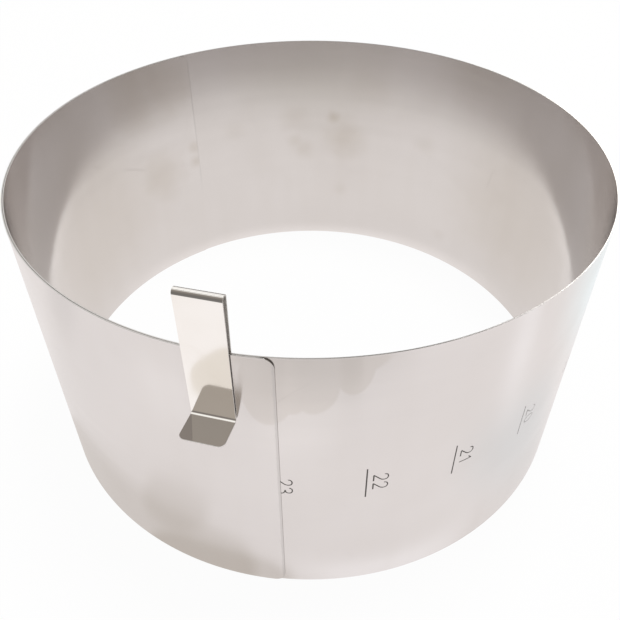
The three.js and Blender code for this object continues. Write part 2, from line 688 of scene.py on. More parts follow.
@dataclass(frozen=True)
class CutEdge(Finish):
    """A sheared edge of steel: darker and rougher than the sheet, with fine shear marks."""

    colour: Colour
    roughness: float

    def inputs(self, w: Wiring, effects: SteelEffects) -> dict[str, object]:
        """Wires the shear marks and the smudges.

        Args:
            w: The material's wiring.
            effects: The shared node groups.

        Returns:
            What goes into each input of the Principled shader.
        """
        flat = w.add("UVMap", uv_map=FlatBlank.uv_name).outputs[0]
        marks = w.noise(w.vector("MULTIPLY", flat, (3.0, 3.0, 1.0)), 900.0, detail=3.0,
                        roughness=0.7)
        smudge = w.effect(effects.smudges, {"Vector": flat, "Patches per metre": 90.0,
                                            "Cover": 0.5})["Mask"]
        darker = tuple(part * 0.8 for part in self.colour)
        return {
            "Base Color": w.blend(w.ramp(marks, 0.3, 0.7), self.colour, darker),
            "Metallic": 1.0,
            "Roughness": w.maths("MULTIPLY_ADD", smudge, 0.12, self.roughness),
            "Normal": w.bump(marks, 0.4, 0.00002),
        }


@dataclass(frozen=True)
class PolishedSheet(Finish):
    """The clip's polished spring steel: faint warm smudges, a slight wave and dull hairlines.

    The inside of the hairpin, up to a distance along the strip, isn't polished, and the front of
    its fold, between two such distances, carries painted shade that darkens its colour.
    """

    colour: Colour
    warmed: Colour
    roughness: float
    dull_end: float
    fold: tuple[float, float]
    # Painted shade on the front of the fold, blended into the colour.
    fold_tone: Colour = (0.22, 0.215, 0.21)
    fold_share: float = 0.36

    def inputs(self, w: Wiring, effects: SteelEffects) -> dict[str, object]:
        """Wires the smudges and hairlines, the dull inside and the painted shade on the fold.

        Args:
            w: The material's wiring.
            effects: The shared node groups.

        Returns:
            What goes into each input of the Principled shader.
        """
        flat = w.add("UVMap", uv_map=FlatBlank.uv_name).outputs[0]
        smudge = w.effect(effects.smudges, {"Vector": flat, "Patches per metre": 110.0,
                                            "Cover": 0.5})["Mask"]
        scratch = w.effect(effects.scratches, {"Vector": flat, "Cells per metre": 260.0,
                                               "Width": 0.003})["Mask"]
        grain = w.effect(effects.grain, {"Vector": flat, "Lines per metre": 9000.0,
                                         "Length": 50.0})
        places = w.parts(flat)
        dull = w.maths("MULTIPLY", w.maths("LESS_THAN", places["Y"], FlatBlank.inner_shift / 2),
                       w.maths("LESS_THAN", places["X"], self.dull_end))
        warm = w.maths("MULTIPLY", w.ramp(w.noise(flat, 60.0), 0.35, 0.7), 0.3)
        warm = w.maths("MULTIPLY_ADD", smudge, 0.25, warm)
        start, end = self.fold
        # painted shade: the front of the fold is darkened in colour
        fold_shade = w.maths("MULTIPLY", w.ramp(places["X"], start, start + 0.0003, 0.0, self.fold_share),
                       w.ramp(places["X"], end - 0.0008, end, 1.0, 0.0))
        rough = w.maths("MULTIPLY_ADD", smudge, 0.04, self.roughness)
        rough = w.maths("MULTIPLY_ADD", scratch, 0.06, rough)
        swell = w.bump(w.noise(flat, 70.0, detail=1.0), 1.0, 0.00005)
        return {
            "Base Color": w.blend(fold_shade, w.blend(warm, self.colour, self.warmed), self.fold_tone),
            "Metallic": w.maths("MULTIPLY_ADD", dull, -0.28, 1.0),
            "Roughness": w.maths("MULTIPLY_ADD", dull, 0.4, rough),
            "Normal": w.bump(grain["Height"], 0.35, 0.000001, Normal=swell),
        }


@dataclass(frozen=True)
class EtchedMark(Finish):
    """A dark etched line: matt grey, a little uneven in depth, with a painted sheen that makes it
    paler at a low angle.
    """

    colour: Colour
    roughness: float
    # The painted sheen's colour, which the grey turns to at a low angle.
    faded: Colour = (0.755, 0.733, 0.727)
    low_angle: tuple[float, float] = (0.6, 0.88)

    def inputs(self, w: Wiring, effects: SteelEffects) -> dict[str, object]:
        """Wires the uneven grey, and the painted sheen that makes it paler at a low angle.

        Args:
            w: The material's wiring.
            effects: The shared node groups.

        Returns:
            What goes into each input of the Principled shader.
        """
        place = w.add("TexCoord").outputs["Object"]
        uneven = w.noise(place, 1500.0, detail=3.0, roughness=0.6)
        worn = w.effect(effects.smudges, {"Vector": place, "Patches per metre": 400.0,
                                          "Cover": 0.4})["Mask"]
        paler = tuple(min(part * 1.7, 1.0) for part in self.colour)
        share = w.maths("MULTIPLY_ADD", worn, 0.5, w.maths("MULTIPLY", uneven, 0.5), clamp=True)
        colour = w.blend(share, self.colour, paler)
        facing = w.add("LayerWeight", {"Blend": 0.5}).outputs["Facing"]
        low = w.ramp(facing, *self.low_angle)
        rough = w.ramp(uneven, 0.3, 0.7, self.roughness - 0.08, self.roughness + 0.08)
        return {
            # painted sheen: at a low angle the grey turns towards a pale steel colour
            "Base Color": w.blend(low, colour, self.faded),
            "Metallic": w.maths("MULTIPLY_ADD", low, 0.65, 0.35),
            "Roughness": w.maths("MULTIPLY_ADD", low, -0.3, rough),
            "Normal": w.bump(uneven, 0.4, 0.00001),
        }


# The flat blanks that both pieces are bent from


@dataclass(frozen=True)
class Run:
    """A stretch of a blank, between two distances along it, with its number of equal columns."""

    start: float
    end: float
    columns: int

    def places(self) -> Iterator[float]:
        """Gives the distance of the end of each column."""
        for i in range(1, self.columns + 1):
            yield self.start + (self.end - self.start) * i / self.columns


@dataclass(frozen=True)
class FlatBlank:
    """A strip of sheet with round corners, as it is before it is bent.

    It lies along +X from 0, with its width along Z and its thickness along Y. Its outer side is -Y.
    """

    length: float
    width: float
    thickness: float
    corner_radius: float
    edge_radius: float
    runs: tuple[Run, ...]
    corner_steps: int = 8

    uv_name = "flat"
    inner_shift = 0.5

    def cut(self, name: str) -> bpy.types.Object:
        """Models the blank.

        Args:
            name: The object's name.

        Returns:
            The flat blank, with its flat coordinates and two material slots: sheet and cut edge.
        """
        first, *others = self.runs
        bpy.ops.mesh.primitive_grid_add(
            x_subdivisions=first.columns, y_subdivisions=1, size=1,
            location=((first.start + first.end) / 2, 0, 0), rotation=(math.pi / 2, 0, 0))
        piece = bpy.context.object
        piece.name = piece.data.name = name
        piece.scale = (first.end - first.start, self.width, 1)
        fix_place(piece)
        bpy.ops.object.mode_set(mode="EDIT")
        bpy.ops.mesh.select_mode(type="VERT")
        far = first.end
        for run in others:
            for place in run.places():
                self._grow(piece, far, place)
                far = place
        self._round_end(piece, first.start, -1)
        self._round_end(piece, far, 1)
        bpy.ops.object.mode_set(mode="OBJECT")

        for _ in range(2):
            piece.data.materials.append(None)
        finish_with(piece, "SOLIDIFY", thickness=self.thickness, offset=0.0,
                    material_offset_rim=1)
        finish_with(piece, "BEVEL", width=self.edge_radius, segments=2, limit_method="ANGLE",
                    angle_limit=math.radians(40))
        self._lay_coordinates(piece)
        return piece

    def _grow(self, piece: bpy.types.Object, here: float, there: float) -> None:
        """Extrudes the end of the sheet from one distance to another.

        Args:
            piece: The sheet, in edit mode.
            here: Where it ends now.
            there: Where it ends afterwards.
        """
        pick_vertices(piece, lambda place: abs(place.x - here) < 1e-6)
        bpy.ops.mesh.extrude_region_move(
            TRANSFORM_OT_translate={"value": (there - here, 0, 0)})

    def _round_end(self, piece: bpy.types.Object, start: float, way: int) -> None:
        """Grows one end by the corner radius, narrower at each step, so that its corners are round.

        Args:
            piece: The sheet, in edit mode.
            start: The distance at which the corners begin.
            way: 1 for the far end, -1 for the near one.
        """
        here, half = start, self.width / 2
        for i in range(1, self.corner_steps + 1):
            angle = math.pi / 2 * i / self.corner_steps
            there = start + way * self.corner_radius * math.sin(angle)
            narrower = self.width / 2 - self.corner_radius * (1 - math.cos(angle))
            self._grow(piece, here, there)
            bpy.ops.transform.resize(value=(1, 1, narrower / half),
                                     center_override=(there, 0, 0))
            here, half = there, narrower

    def _lay_coordinates(self, piece: bpy.types.Object) -> None:
        """Stores each face's flat place, in metres, shifted on the inner side.

        Args:
            piece: The flat solid.
        """
        layer = piece.data.uv_layers.active or piece.data.uv_layers.new()
        layer.name = self.uv_name
        for face in piece.data.polygons:
            shift = self.inner_shift if face.normal.y > 0.3 else 0.0
            for corner in face.loop_indices:
                place = piece.data.vertices[piece.data.loops[corner].vertex_index].co
                layer.data[corner].uv = (place.x, place.z + self.width / 2 + shift)


# The coiled strip


@dataclass(frozen=True)
class Coil:
    """The strip's size, and the even spiral that its middle surface follows from above."""

    height: float = 0.120
    wall: float = 0.0004
    radius: float = 0.115
    pitch: float = 0.0005
    length: float = 1.009
    outer_end: float = math.radians(265.1) + math.tau

    @property
    def inner_end(self) -> float:
        """The turn at which the strip begins."""
        return self.outer_end - self.length / self.radius

    @property
    def middle(self) -> float:
        """The turn half way along the strip."""
        return (self.inner_end + self.outer_end) / 2

    def radius_at(self, turn: float) -> float:
        """The middle surface's distance from the axis at a turn."""
        return self.radius + self.pitch * (turn - self.middle) / math.tau

    def distance_at(self, turn: float) -> float:
        """The length of strip from its inner end to a turn."""
        growth = (turn - self.middle) ** 2 - (self.inner_end - self.middle) ** 2
        return self.radius * (turn - self.inner_end) + self.pitch / (2 * math.tau) * growth

    def line(self, step: float = math.radians(0.5)) -> list[Point]:
        """Gives the spiral's points.

        Args:
            step: The turn between two points, at most.

        Returns:
            The points from the inner end to the outer end.
        """
        count = math.ceil((self.outer_end - self.inner_end) / step)
        turns = [self.inner_end + (self.outer_end - self.inner_end) * i / count
                 for i in range(count + 1)]
        return [(self.radius_at(turn) * math.cos(turn), self.radius_at(turn) * math.sin(turn))
                for turn in turns]


@dataclass
class CoiledBand:
    """The strip of spring steel, coiled into a ring with its ends lapped."""

    coil: Coil
    corner_radius: float = 0.004
    edge_radius: float = 0.00005
    column: float = 0.002
    sheet: SatinSheet = field(default_factory=lambda: SatinSheet(
        name="satin_band_steel",
        colour=(0.755, 0.733, 0.727),
        stained=(0.63, 0.59, 0.548),
        roughness=0.15,
        anisotropy=0.9,
        wave_depth=0.00015,
        width=Coil.height,
        length=Coil.length,
        stains=(
            Stain(0.6436, 0.577, 0.005, 0.75),
            Stain(0.6400, 0.569, 0.007, 0.35),
            Stain(0.6370, 0.565, 0.013, 0.55),
            Stain(0.6653, 0.563, 0.006, 0.35),
            Stain(0.6605, 0.557, 0.008, 0.4),
            Stain(0.6660, 0.577, 0.010, 0.3),
            Stain(0.6220, 0.596, 0.014, 0.2),
            Stain(0.7002, 0.574, 0.008, 0.25),
            Stain(0.6387, 0.532, 0.005, 0.2),
            Stain(0.5906, 0.569, 0.008, 0.2),
            Stain(0.0018, 0.569, 0.005, 0.6),
            Stain(0.0023, 0.561, 0.005, 0.7),
            Stain(0.0250, 0.559, 0.016, 0.5),
            Stain(0.0180, 0.548, 0.009, 0.3),
            Stain(0.0130, 0.606, 0.018, 0.5),
            Stain(0.0320, 0.602, 0.018, 0.35),
            Stain(0.0780, 0.553, 0.042, 0.55),
            Stain(0.5230, 0.553, 0.042, 0.55),
            Stain(0.5670, 0.557, 0.009, 0.25),
            Stain(0.5743, 0.517, 0.006, 0.2),
        ),
        # ovals of painted shade, standing for shade mirrored from in front of the ring
        water_marks=(
            WaterMark(1.0063, 0.1090, 0.0078, 0.0168),
            WaterMark(1.0192, 0.1200, 0.0215, 0.0090),
            WaterMark(0.2838, 0.1090, 0.0078, 0.0168),
            WaterMark(0.2966, 0.1200, 0.0215, 0.0090),
            WaterMark(0.2966, 0.1117, 0.0078, 0.0146),
            WaterMark(0.2905, 0.1110, 0.0060, 0.0140),
            WaterMark(0.3078, 0.1158, 0.0058, 0.0110),
        ),
    ))
    edge: CutEdge = field(default_factory=lambda: CutEdge(
        name="sheared_band_edge", colour=(0.78, 0.76, 0.74), roughness=0.28))

    def build(self, effects: SteelEffects) -> bpy.types.Object:
        """Models the band and dresses it.

        Args:
            effects: The shared node groups.

        Returns:
            The finished band.
        """
        straight = Run(self.corner_radius, self.coil.length - self.corner_radius,
                       round(self.coil.length / self.column))
        blank = FlatBlank(self.coil.length, self.coil.height, self.coil.wall,
                          self.corner_radius, self.edge_radius, (straight,))
        band = blank.cut("coiled_band")
        bend_along(band, "coil_line", self.coil.line())
        band.location.z = self.coil.height / 2
        fix_place(band)
        smooth_over(band, 15)
        band.data.materials[0] = self.sheet.material(effects)
        band.data.materials[1] = self.edge.material(effects)
        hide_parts(Node.BAND.value)
        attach(band, Body.RING.value)
        return band


class StrokeKind(Enum):
    """How a stroke runs through its points: smoothly, or straight from one to the next."""

    ROUND = "round"
    STRAIGHT = "straight"


ROUND, STRAIGHT = StrokeKind


class Digit(Enum):
    """The digits as single strokes, in a box one wide and one high.

    Each stroke is a kind and a row of points.
    """

    ZERO = ("0", ((ROUND, ((0.5, 1), (0.14, 0.86), (0, 0.5), (0.14, 0.14), (0.5, 0),
                             (0.86, 0.14), (1, 0.5), (0.86, 0.86), (0.5, 1))),))
    ONE = ("1", ((STRAIGHT, ((0.2, 0.76), (0.6, 1), (0.6, 0))),))
    TWO = ("2", ((ROUND, ((0.04, 0.74), (0.16, 0.93), (0.5, 1), (0.84, 0.93), (0.95, 0.73),
                            (0.84, 0.52), (0.5, 0.3), (0, 0))),
                 (STRAIGHT, ((0, 0), (1, 0)))))
    THREE = ("3", ((ROUND, ((0.05, 0.8), (0.2, 0.96), (0.5, 1), (0.82, 0.93), (0.92, 0.76),
                              (0.8, 0.59), (0.42, 0.53))),
                   (ROUND, ((0.42, 0.53), (0.84, 0.45), (1, 0.27), (0.86, 0.07), (0.5, 0),
                              (0.16, 0.05), (0, 0.22)))))
    FOUR = ("4", ((STRAIGHT, ((0.76, 0), (0.76, 1), (0, 0.3), (1, 0.3))),))
    FIVE = ("5", ((STRAIGHT, ((0.92, 1), (0.16, 1), (0.08, 0.54))),
                  (ROUND, ((0.08, 0.54), (0.45, 0.64), (0.85, 0.54), (1, 0.32), (0.86, 0.08),
                             (0.5, 0), (0.16, 0.04), (0, 0.18)))))
    SIX = ("6", ((ROUND, ((0.9, 0.88), (0.6, 1), (0.24, 0.9), (0.04, 0.6), (0.02, 0.3),
                            (0.2, 0.06), (0.5, 0), (0.84, 0.08), (1, 0.32), (0.84, 0.54),
                            (0.5, 0.61), (0.2, 0.54), (0.03, 0.36))),))
    SEVEN = ("7", ((STRAIGHT, ((0, 1), (1, 1), (0.36, 0))),))
    EIGHT = ("8", ((ROUND, ((0.5, 1), (0.16, 0.92), (0.08, 0.75), (0.2, 0.59), (0.5, 0.53),
                              (0.86, 0.43), (1, 0.25), (0.86, 0.07), (0.5, 0), (0.14, 0.07),
                              (0, 0.25), (0.14, 0.43), (0.5, 0.53), (0.8, 0.59), (0.92, 0.75),
                              (0.84, 0.92), (0.5, 1))),))
    NINE = ("9", ((ROUND, ((0.1, 0.12), (0.4, 0), (0.76, 0.1), (0.96, 0.4), (0.98, 0.7),
                             (0.8, 0.94), (0.5, 1), (0.16, 0.92), (0, 0.68), (0.16, 0.46),
                             (0.5, 0.39), (0.8, 0.46), (0.97, 0.64))),))

    @classmethod
    def strokes(cls, sign: str) -> Sequence[tuple[StrokeKind, Sequence[Point]]]:
        """Finds the strokes of a digit.

        Args:
            sign: The digit as text.

        Returns:
            Its strokes, each with its kind and its points.
        """
        return next(digit.value[1] for digit in cls if digit.value[0] == sign)


def run_through(kind: StrokeKind, points: Sequence[Point], finest: int = 5) -> list[Point]:
    """Divides a stroke finely.

    Args:
        kind: How it runs through its points.
        points: The stroke's points.
        finest: How many parts lie between two points.

    Returns:
        The points of the divided stroke.
    """
    if kind is STRAIGHT:
        finest *= 2
    fine = []
    for i in range(len(points) - 1):
        before, a, b, after = (Vector(points[j]) for j in
                               (max(i - 1, 0), i, i + 1, min(i + 2, len(points) - 1)))
        for k in range(finest):
            t = k / finest
            if kind is STRAIGHT:
                place = a.lerp(b, t)
            else:
                place = 0.5 * (2 * a + (b - before) * t
                               + (2 * before - 5 * a + 4 * b - after) * t ** 2
                               + (3 * a - before - 3 * b + after) * t ** 3)
            fine.append(tuple(place))
    fine.append(tuple(points[-1]))
    return fine


@dataclass
class CentimetreScale:
    """The etched numbers that tell the ring's diameter, each beside a short upright line."""

    coil: Coil
    first: int = 16
    last: int = 30
    centimetre: float = 0.01
    set_number: int = 22
    set_angle: float = math.radians(279.02)
    line_length: float = 0.0154
    line_height: float = 0.0607
    digit_gap: float = 0.0023
    digit_height: float = 0.00495
    digit_width: float = 0.0032
    digit_advance: float = 0.0045
    stroke: float = 0.0005
    depth: float = 0.00002
    line_parts: int = 8
    etch: EtchedMark = field(default_factory=lambda: EtchedMark(
        name="etched_grey", colour=(0.1, 0.095, 0.09), roughness=0.55))

    def build(self, effects: SteelEffects) -> bpy.types.Object:
        """Draws the whole scale flat, rolls it onto the band and dresses it.

        Args:
            effects: The shared node groups.

        Returns:
            The finished scale.
        """
        step = math.pi * self.centimetre
        start = self.coil.distance_at(self.set_angle)
        strokes: list[list[Point]] = []
        for number in range(self.first, self.last + 1):
            along = start + (self.set_number - number) * step
            strokes += self._mark(number, along)
        scale = self._draw(strokes)
        bend_along(scale, "coil_line", self.coil.line())
        smooth_over(scale, 40)
        scale.data.materials.append(self.etch.material(effects))
        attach(scale, Body.RING.value)
        return scale

    def _mark(self, number: int, along: float) -> list[list[Point]]:
        """Lays out one number and its line.

        Args:
            number: The diameter in centimetres.
            along: The line's distance along the strip.

        Returns:
            The strokes, as distances along the strip and heights above the base.
        """
        top = self.line_height + self.line_length / 2
        line = [(along, top - self.line_length * i / self.line_parts)
                for i in range(self.line_parts + 1)]
        strokes = [line]
        text = str(number)
        span = self.digit_advance * (len(text) - 1) + self.digit_width
        for i, sign in enumerate(text):
            left = self.line_height + span / 2 - self.digit_advance * i
            for kind, points in Digit.strokes(sign):
                strokes.append([
                    (along + self.digit_gap + y * self.digit_height, left - x * self.digit_width)
                    for x, y in run_through(kind, points)])
        return strokes

    def _draw(self, strokes: Sequence[Sequence[Point]]) -> bpy.types.Object:
        """Makes the strokes into flat, round-backed ribbons on the blank's outer side.

        Args:
            strokes: The strokes, as distances and heights.

        Returns:
            The scale's mesh, still flat.
        """
        scale = draw_curve("centimetre_scale", [[(along, 0, height) for along, height in stroke]
                                                for stroke in strokes])
        scale.data.bevel_depth = self.stroke / 2
        scale.data.bevel_resolution = 1
        scale.data.use_fill_caps = True
        take_up(scale)
        bpy.ops.object.convert(target="MESH")
        scale = bpy.context.object
        scale.scale.y = self.depth / self.stroke
        scale.location.y = -self.coil.wall / 2
        fix_place(scale)
        return scale


# The clip


@dataclass
class SpringClip:
    """The hairpin clip: inner leg, round fold above the rim, outer leg and finger lip."""

    coil: Coil
    width: float = 0.014
    thickness: float = 0.0004
    rise: float = 0.0205
    fold_radius: float = 0.0012
    front_leg: float = 0.0455
    back_leg: float = 0.0395
    knee_height: float = 0.001
    knee_radius: float = 0.003
    lip: float = 0.01001
    lip_bend: float = math.radians(96)
    crease_radius: float = 0.0005
    crease_facet: float = 0.00045
    facet_turn: float = math.radians(66.5)
    corner_radius: float = 0.002
    edge_radius: float = 0.00007
    clearance: float = 0.00015
    setback: float = 0.019
    margin: float = 0.0003
    short_span: float = 0.002
    long_columns: int = 6
    column_turn: float = 9.0
    point_turn: float = 3.0
    point_step: float = 0.001
    sheet: PolishedSheet = field(default_factory=lambda: PolishedSheet(
        name="polished_clip_steel",
        colour=(0.94, 0.925, 0.9),
        warmed=(0.9, 0.873, 0.832),
        roughness=0.07,
        dull_end=0.075,
        # the span of the fold that carries painted shade
        fold=(0.0419, 0.0433),
    ))
    edge: CutEdge = field(default_factory=lambda: CutEdge(
        name="sheared_clip_edge", colour=(0.86, 0.84, 0.82), roughness=0.38))

    @property
    def angle(self) -> float:
        """Where the clip's middle stands on the ring."""
        return self.coil.outer_end - self.setback / self.coil.radius

    @property
    def front_radius(self) -> float:
        """The outer leg's distance from the ring's axis."""
        outside = self.coil.radius_at(self.angle) + self.coil.wall / 2
        return outside + self.clearance + self.thickness / 2

    @property
    def back_radius(self) -> float:
        """The inner leg's distance from the ring's axis.

        Returns:
            The distance, at which the leg's two edges just clear the curved wall.
        """
        inside = self.coil.radius_at(self.angle - math.tau) - self.coil.wall / 2
        reach = math.sqrt(inside ** 2 - (self.width / 2) ** 2)
        return reach - self.clearance - self.thickness / 2

    @property
    def fold_height(self) -> float:
        """How high the middle of the fold is."""
        return self.coil.height + self.rise - self.thickness / 2 - self.fold_radius

    @property
    def stretches(self) -> list[tuple[float, float]]:
        """The stretches of the clip's middle line, from the inner leg's foot.

        The fold is wider than the lap, so the inner leg slants from it towards the outer leg and
        bends upright at its knee, just above the rim. The pressing tool left a narrow flat in the
        crease of the lip.

        Returns:
            The length and turn of each stretch.
        """
        drop = self.fold_height - self.coil.height - self.knee_height
        inset = self.fold_radius - (self.front_radius - self.back_radius) - self.knee_radius
        radii = self.fold_radius + self.knee_radius
        slant = math.sqrt(drop ** 2 + inset ** 2 - radii ** 2)
        knee = math.atan2(inset, drop) + math.atan2(radii, slant)
        rest = self.lip_bend - self.facet_turn
        return [
            (self.back_leg - drop, 0.0),
            (self.knee_radius * knee, knee),
            (slant, 0.0),
            (self.fold_radius * (math.pi + knee), -math.pi - knee),
            (self.front_leg, 0.0),
            (self.crease_radius * self.facet_turn, self.facet_turn),
            (self.crease_facet, 0.0),
            (self.crease_radius * rest, rest),
            (self.lip, 0.0),
        ]

    def build(self, effects: SteelEffects) -> bpy.types.Object:
        """Models the clip and dresses it.

        Args:
            effects: The shared node groups.

        Returns:
            The finished clip.
        """
        length = sum(span for span, _ in self.stretches)
        blank = FlatBlank(length, self.width, self.thickness, self.corner_radius,
                          self.edge_radius, tuple(self._runs(length)))
        clip = blank.cut("hairpin_clip")
        bend_along(clip, "hairpin_line", self._line())
        middle = (self.front_radius - self.fold_radius, 0, self.fold_height)
        upright = Matrix.Rotation(math.pi / 2, 4, "X")
        outwards = Matrix.Rotation(self.angle, 4, "Z")
        clip.matrix_world = outwards @ Matrix.Translation(middle) @ upright
        fix_place(clip)
        smooth_over(clip, 20)
        clip.data.materials[0] = self.sheet.material(effects)
        clip.data.materials[1] = self.edge.material(effects)
        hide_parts(Node.CLIP.value)
        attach(clip, Body.CLIP.value)
        return clip

    def _runs(self, length: float) -> Iterator[Run]:
        """Divides the blank: coarsely where it stays flat, finely where it bends.

        Args:
            length: The blank's whole length.

        Yields:
            The runs, from one round end to the other.
        """
        start = self.corner_radius
        here = 0.0
        for span, turn in self.stretches:
            here = min(here + span, length - self.corner_radius)
            if turn:
                yield Run(start, here, max(1, round(abs(math.degrees(turn)) / self.column_turn)))
            else:
                margin = min(self.margin, span / 3)
                columns = self.long_columns if span > self.short_span else 1
                yield Run(start, start + margin, 1)
                yield Run(start + margin, here - margin, columns)
                yield Run(here - margin, here, 1)
            start = here

    def _line(self) -> list[Point]:
        """Follows the clip's middle line.

        Returns:
            Its points, x outwards and y up, from the middle of the fold.
        """
        spacing = self.front_radius - self.back_radius
        place = Vector((self.fold_radius - spacing, -self.back_leg))
        heading = math.pi / 2
        points: list[Point] = [tuple(place)]
        for span, turn in self.stretches:
            steps = (math.ceil(abs(math.degrees(turn)) / self.point_turn)
                     or math.ceil(span / self.point_step))
            for _ in range(steps):
                part = turn / steps
                chord = span / steps
                if part:
                    chord *= math.sin(part / 2) / (part / 2)
                way = heading + part / 2
                place = place + Vector((math.cos(way), math.sin(way))) * chord
                heading += part
                points.append(tuple(place))
        return points


# The studio


GREY_SHADE: Colour = (0.21, 0.2, 0.19)
BROWN_SHADE: Colour = (0.3, 0.24, 0.15)


@dataclass(frozen=True)
class Patch:
    """A soft oval of shade or light on the paper outside the ring, which only the steel mirrors.

    Its turn is in degrees. Its blur is the part of its reach over which it fades out.
    """

    middle: Point
    reach: Point
    turn: float
    share: float
    tone: Colour
    blur: float


@dataclass(frozen=True)
class Paper:
    """The white surface that the ring stands on."""

    name: str = "white_paper"
    colour: Colour = (0.93, 0.93, 0.93)
    seen_white: float = 0.965
    mirrored_white: float = 0.92
    mirrored_tone: Colour = (1.0, 0.957, 0.944)
    kept_again: float = 0.635
    kept_more: float = 1.15
    front_edge: float = -0.28
    edge_blur: float = 0.03
    dark: Colour = GREY_SHADE
    ring_radius: float = Coil.radius
    inner_tone: Colour = (0.5, 0.468, 0.37)
    inner_share: tuple[float, float] = (0.62, 0.12)
    inner_fade: tuple[float, float] = (-0.125, -0.04)
    foot_light: Colour = (1.7, 1.65, 1.64)
    foot_share: float = 0.18
    foot_width: float = 0.012
    foot_fade: tuple[float, float] = (0.03, 0.09)
    patches: tuple[Patch, ...] = (
        Patch((-0.052, -0.222), (0.028, 0.033), 0.0, 0.1, GREY_SHADE, 0.05),
        Patch((0.017, -0.235), (0.042, 0.037), 0.0, 0.06, GREY_SHADE, 0.05),
        Patch((0.045, -0.247), (0.13, 0.05), 0.0, 0.15, GREY_SHADE, 0.45),
        Patch((-0.0895, -0.198), (0.0195, 0.0195), 0.0, 0.7, (0.75, 0.685, 0.605), 0.04),
        Patch((0.042, -0.222), (0.015, 0.015), 0.0, 0.14, BROWN_SHADE, 0.3),
        Patch((-0.0703, -0.078), (0.066, 0.028), -42, 0.22, BROWN_SHADE, 0.12),
        Patch((-0.036, -0.1065), (0.034, 0.0135), -19, 0.26, BROWN_SHADE, 0.25),
        Patch((-0.072, -0.113), (0.026, 0.014), -35, 0.18, BROWN_SHADE, 0.4),
        Patch((-0.175, -0.055), (0.06, 0.08), 0.0, 0.05, GREY_SHADE, 0.8),
        Patch((-0.225, -0.045), (0.045, 0.05), 0.0, 0.15, GREY_SHADE, 0.8),
        Patch((-0.13, -0.155), (0.05, 0.03), -40, 0.12, (1.5, 1.48, 1.45), 0.8),
        Patch((-0.007, -0.187), (0.055, 0.013), -14, 0.15, (1.6, 1.55, 1.5), 0.6),
        Patch((0.03, -0.1115), (0.055, 0.01), 15, 0.2, (1.6, 1.6, 1.65), 0.8),
        Patch((0.122, -0.075), (0.075, 0.035), 54, 0.25, (0.57, 0.71, 0.77), 0.9),
        Patch((0.2, 0.06), (0.08, 0.12), 0.0, 0.3, (1.1, 1.4, 1.48), 0.8),
        Patch((0.2, -0.093), (0.1, 0.024), 0.0, 0.28, (1.5, 1.5, 1.55), 0.8),
    )

    def material(self) -> bpy.types.Material:
        """Makes the paper's material, part lit and part plain white, so its shadow stays faint.

        The steel mirrors it up to its front edge, with the patches on it, a little darker inside
        the ring and lighter at the foot of the far wall. It is fainter where it is mirrored twice,
        and less so where it is mirrored again and again at a low angle.

        Returns:
            The material.
        """
        w, shader = open_material(self.name)
        place = w.add("TexCoord").outputs["Object"]
        fibre = w.ramp(w.noise(place, 700.0, detail=4.0), 0.3, 0.7)
        paler = tuple(part * 0.985 for part in self.colour)
        w.feed_all(shader, {"Base Color": w.blend(fibre, self.colour, paler), "Roughness": 0.9,
                            "Specular IOR Level": 0.1})
        path = w.add("LightPath").outputs
        mirrored = w.maths("ADD", path["Is Glossy Ray"], path["Is Transmission Ray"], clamp=True)
        seen = w.maths("MULTIPLY", path["Is Camera Ray"], self.seen_white)
        surface = self._over(w, seen, shader, (1.0, 1.0, 1.0))
        surface = self._over(w, w.maths("MULTIPLY", mirrored, self.mirrored_white), surface,
                             self.mirrored_tone)

        forward = w.parts(place)["Y"]
        out = w.vector("LENGTH", place)
        inner = w.maths("MULTIPLY", mirrored, w.maths("LESS_THAN", out, self.ring_radius))
        outer = w.maths("SUBTRACT", mirrored, inner)
        deeper = w.ramp(forward, *self.inner_fade, *self.inner_share)
        surface = self._over(w, w.maths("MULTIPLY", inner, deeper), surface, self.inner_tone)
        foot = w.maths("MULTIPLY",
                       w.ramp(out, self.ring_radius - self.foot_width, self.ring_radius),
                       w.ramp(forward, *self.foot_fade, 0.0, self.foot_share))
        surface = self._over(w, w.maths("MULTIPLY", inner, foot), surface, self.foot_light)

        for patch in self.patches:
            own = w.add("Mapping", {"Vector": place, "Location": (*patch.middle, 0.0),
                                    "Rotation": (0.0, 0.0, math.radians(patch.turn)),
                                    "Scale": (*patch.reach, 1.0)}, vector_type="TEXTURE")
            oval = w.ramp(w.vector("LENGTH", own), 1.0 - patch.blur, 1.0, patch.share, 0.0)
            surface = self._over(w, w.maths("MULTIPLY", outer, oval), surface, patch.tone)

        twice = w.maths("GREATER_THAN", path["Glossy Depth"], 1.5)
        more = w.maths("POWER", self.kept_more, w.maths("SUBTRACT", path["Glossy Depth"], 2.0))
        loss = w.maths("SUBTRACT", 1.0, w.maths("MULTIPLY", more, self.kept_again), clamp=True)
        kept = w.maths("SUBTRACT", 1.0, w.maths("MULTIPLY", twice, loss))
        kept = w.maths("MULTIPLY", kept, w.ramp(forward, self.front_edge - self.edge_blur,
                                                self.front_edge + self.edge_blur))
        lost = w.maths("MULTIPLY", mirrored, w.maths("SUBTRACT", 1.0, kept))
        w.feed(w.tree.nodes["Material Output"].inputs["Surface"],
               self._over(w, lost, surface, self.dark))
        return bpy.data.materials[self.name]

    @staticmethod
    def _over(w: Wiring, share: object, shader: object, glow: Colour) -> bpy.types.NodeSocket:
        """Lays an even glow over a shader.

        Args:
            w: The material's wiring.
            share: How much of the glow there is, from 0 to 1.
            shader: The shader under it.
            glow: The glow's colour.

        Returns:
            The mixed shader's socket.
        """
        light = w.add("Emission", {"Color": glow, "Strength": 1.0})
        return w.add("MixShader", {0: share, 1: shader, 2: light}).outputs[0]


